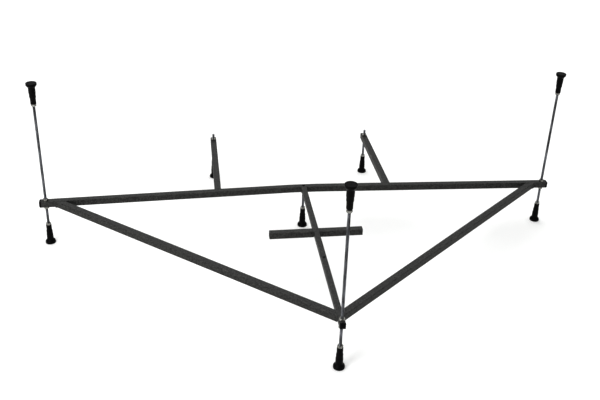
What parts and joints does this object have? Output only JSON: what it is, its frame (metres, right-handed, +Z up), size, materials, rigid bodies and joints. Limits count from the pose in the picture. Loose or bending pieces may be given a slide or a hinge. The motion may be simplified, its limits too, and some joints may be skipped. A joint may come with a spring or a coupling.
{
  "type": "bathtub support frame",
  "caption": "Welded square-tube support frame for a corner bathtub, on threaded studs with screw feet and upturned screw pads for the rim.",
  "frame": {"origin": "on the floor, under the middle of the frame's bounding box", "axes": "+X to the right along the long bar, +Y to the rear, towards the corner of the room, +Z up"},
  "size_m": [2.0516, 1.376, 0.667],
  "materials": {
    "painted_steel_tube": "dark grey paint, satin, on square steel tube",
    "end_plug_plastic": "black moulded plastic, slightly glossy",
    "zinc_plated_stud": "zinc-plated steel thread",
    "zinc_plated_nut": "zinc-plated steel",
    "foot_plastic": "black moulded plastic with a faint sheen"
  },
  "bodies": {
    "frame": {"long_bar": "painted_steel_tube", "centre_bar": "painted_steel_tube", "left_diagonal": "painted_steel_tube", "right_diagonal": "painted_steel_tube", "left_cross_arm": "painted_steel_tube", "right_cross_arm": "painted_steel_tube", "rear_left_bar": "painted_steel_tube", "rear_right_bar": "painted_steel_tube", "left_end_plug": "end_plug_plastic", "right_end_plug": "end_plug_plastic", "front_end_plug": "end_plug_plastic", "rear_left_end_plug": "end_plug_plastic", "rear_right_end_plug": "end_plug_plastic", "left_upper_clamp_nut": "zinc_plated_nut", "left_lower_clamp_nut": "zinc_plated_nut", "right_upper_clamp_nut": "zinc_plated_nut", "right_lower_clamp_nut": "zinc_plated_nut", "front_upper_clamp_nut": "zinc_plated_nut", "front_lower_clamp_nut": "zinc_plated_nut", "centre_weld_nut": "zinc_plated_nut", "rear_left_upper_clamp_nut": "zinc_plated_nut", "rear_left_lower_clamp_nut": "zinc_plated_nut", "rear_right_upper_clamp_nut": "zinc_plated_nut", "rear_right_lower_clamp_nut": "zinc_plated_nut"},
    "left_stud": {"left_stud": "zinc_plated_stud"},
    "left_foot_lock_nut": {"left_foot_lock_nut": "zinc_plated_nut"},
    "left_foot": {"left_foot": "foot_plastic"},
    "left_pad_lock_nut": {"left_pad_lock_nut": "zinc_plated_nut"},
    "left_rim_pad": {"left_rim_pad": "foot_plastic"},
    "right_stud": {"right_stud": "zinc_plated_stud"},
    "right_foot_lock_nut": {"right_foot_lock_nut": "zinc_plated_nut"},
    "right_foot": {"right_foot": "foot_plastic"},
    "right_pad_lock_nut": {"right_pad_lock_nut": "zinc_plated_nut"},
    "right_rim_pad": {"right_rim_pad": "foot_plastic"},
    "front_stud": {"front_stud": "zinc_plated_stud"},
    "front_foot_lock_nut": {"front_foot_lock_nut": "zinc_plated_nut"},
    "front_foot": {"front_foot": "foot_plastic"},
    "front_pad_lock_nut": {"front_pad_lock_nut": "zinc_plated_nut"},
    "front_rim_pad": {"front_rim_pad": "foot_plastic"},
    "centre_stud": {"centre_stud": "zinc_plated_stud"},
    "centre_foot_lock_nut": {"centre_foot_lock_nut": "zinc_plated_nut"},
    "centre_foot": {"centre_foot": "foot_plastic"},
    "rear_left_stud": {"rear_left_stud": "zinc_plated_stud"},
    "rear_left_foot_lock_nut": {"rear_left_foot_lock_nut": "zinc_plated_nut"},
    "rear_left_foot": {"rear_left_foot": "foot_plastic"},
    "rear_right_stud": {"rear_right_stud": "zinc_plated_stud"},
    "rear_right_foot_lock_nut": {"rear_right_foot_lock_nut": "zinc_plated_nut"},
    "rear_right_foot": {"rear_right_foot": "foot_plastic"}
  },
  "joints": [
    {"name": "left_stud_slide", "type": "slide", "parent": "frame", "child": "left_stud", "axis": [0, 0, 1], "range_m": [-0.36, 0.045]},
    {"name": "left_foot_travel", "type": "slide", "parent": "left_stud", "child": "left_foot_lock_nut", "axis": [0, 0, 1], "range_m": [-0.0225, 0.015]},
    {"name": "left_foot_turn", "type": "hinge", "parent": "left_foot_lock_nut", "child": "left_foot", "pos_m": [-1, 0.1635, 0], "axis": [0, 0, 1], "range_deg": [-5436, 3636]},
    {"name": "left_rim_pad_travel", "type": "slide", "parent": "left_stud", "child": "left_pad_lock_nut", "axis": [0, 0, 1], "range_m": [-0.015, 0.0225]},
    {"name": "left_rim_pad_turn", "type": "hinge", "parent": "left_pad_lock_nut", "child": "left_rim_pad", "pos_m": [-1, 0.1635, 0.667], "axis": [0, 0, 1], "range_deg": [-3636, 5436]},
    {"name": "right_stud_slide", "type": "slide", "parent": "frame", "child": "right_stud", "axis": [0, 0, 1], "range_m": [-0.36, 0.045]},
    {"name": "right_foot_travel", "type": "slide", "parent": "right_stud", "child": "right_foot_lock_nut", "axis": [0, 0, 1], "range_m": [-0.0225, 0.015]},
    {"name": "right_foot_turn", "type": "hinge", "parent": "right_foot_lock_nut", "child": "right_foot", "pos_m": [1, 0.1635, 0], "axis": [0, 0, 1], "range_deg": [-5436, 3636]},
    {"name": "right_rim_pad_travel", "type": "slide", "parent": "right_stud", "child": "right_pad_lock_nut", "axis": [0, 0, 1], "range_m": [-0.015, 0.0225]},
    {"name": "right_rim_pad_turn", "type": "hinge", "parent": "right_pad_lock_nut", "child": "right_rim_pad", "pos_m": [1, 0.1635, 0.667], "axis": [0, 0, 1], "range_deg": [-3636, 5436]},
    {"name": "front_stud_slide", "type": "slide", "parent": "frame", "child": "front_stud", "axis": [0, 0, 1], "range_m": [-0.36, 0.045]},
    {"name": "front_foot_travel", "type": "slide", "parent": "front_stud", "child": "front_foot_lock_nut", "axis": [0, 0, 1], "range_m": [-0.0225, 0.015]},
    {"name": "front_foot_turn", "type": "hinge", "parent": "front_foot_lock_nut", "child": "front_foot", "pos_m": [0, -0.6655, 0], "axis": [0, 0, 1], "range_deg": [-5436, 3636]},
    {"name": "front_rim_pad_travel", "type": "slide", "parent": "front_stud", "child": "front_pad_lock_nut", "axis": [0, 0, 1], "range_m": [-0.015, 0.0225]},
    {"name": "front_rim_pad_turn", "type": "hinge", "parent": "front_pad_lock_nut", "child": "front_rim_pad", "pos_m": [0, -0.6655, 0.667], "axis": [0, 0, 1], "range_deg": [-3636, 5436]},
    {"name": "centre_stud_slide", "type": "slide", "parent": "frame", "child": "centre_stud", "axis": [0, 0, 1], "range_m": [-0.018, 0.005]},
    {"name": "centre_foot_travel", "type": "slide", "parent": "centre_stud", "child": "centre_foot_lock_nut", "axis": [0, 0, 1], "range_m": [-0.0225, 0.015]},
    {"name": "centre_foot_turn", "type": "hinge", "parent": "centre_foot_lock_nut", "child": "centre_foot", "pos_m": [0, 0.2045, 0], "axis": [0, 0, 1], "range_deg": [-5436, 3636]},
    {"name": "rear_left_stud_slide", "type": "slide", "parent": "frame", "child": "rear_left_stud", "axis": [0, 0, 1], "range_m": [-0.015, 0.045]},
    {"name": "rear_left_foot_travel", "type": "slide", "parent": "rear_left_stud", "child": "rear_left_foot_lock_nut", "axis": [0, 0, 1], "range_m": [-0.0225, 0.015]},
    {"name": "rear_left_foot_turn", "type": "hinge", "parent": "rear_left_foot_lock_nut", "child": "rear_left_foot", "pos_m": [-0.345, 0.6595, 0], "axis": [0, 0, 1], "range_deg": [-5436, 3636]},
    {"name": "rear_right_stud_slide", "type": "slide", "parent": "frame", "child": "rear_right_stud", "axis": [0, 0, 1], "range_m": [-0.015, 0.045]},
    {"name": "rear_right_foot_travel", "type": "slide", "parent": "rear_right_stud", "child": "rear_right_foot_lock_nut", "axis": [0, 0, 1], "range_m": [-0.0225, 0.015]},
    {"name": "rear_right_foot_turn", "type": "hinge", "parent": "rear_right_foot_lock_nut", "child": "rear_right_foot", "pos_m": [0.345, 0.6595, 0], "axis": [0, 0, 1], "range_deg": [-5436, 3636]}
  ],
  "couplings": [
    {"joint": "left_foot_turn", "follows": "left_foot_travel", "rad_per_m": 4188.8},
    {"joint": "left_rim_pad_turn", "follows": "left_rim_pad_travel", "rad_per_m": 4188.8},
    {"joint": "right_foot_turn", "follows": "right_foot_travel", "rad_per_m": 4188.8},
    {"joint": "right_rim_pad_turn", "follows": "right_rim_pad_travel", "rad_per_m": 4188.8},
    {"joint": "front_foot_turn", "follows": "front_foot_travel", "rad_per_m": 4188.8},
    {"joint": "front_rim_pad_turn", "follows": "front_rim_pad_travel", "rad_per_m": 4188.8},
    {"joint": "centre_foot_turn", "follows": "centre_foot_travel", "rad_per_m": 4188.8},
    {"joint": "rear_left_foot_turn", "follows": "rear_left_foot_travel", "rad_per_m": 4188.8},
    {"joint": "rear_right_foot_turn", "follows": "rear_right_foot_travel", "rad_per_m": 4188.8}
  ]
}
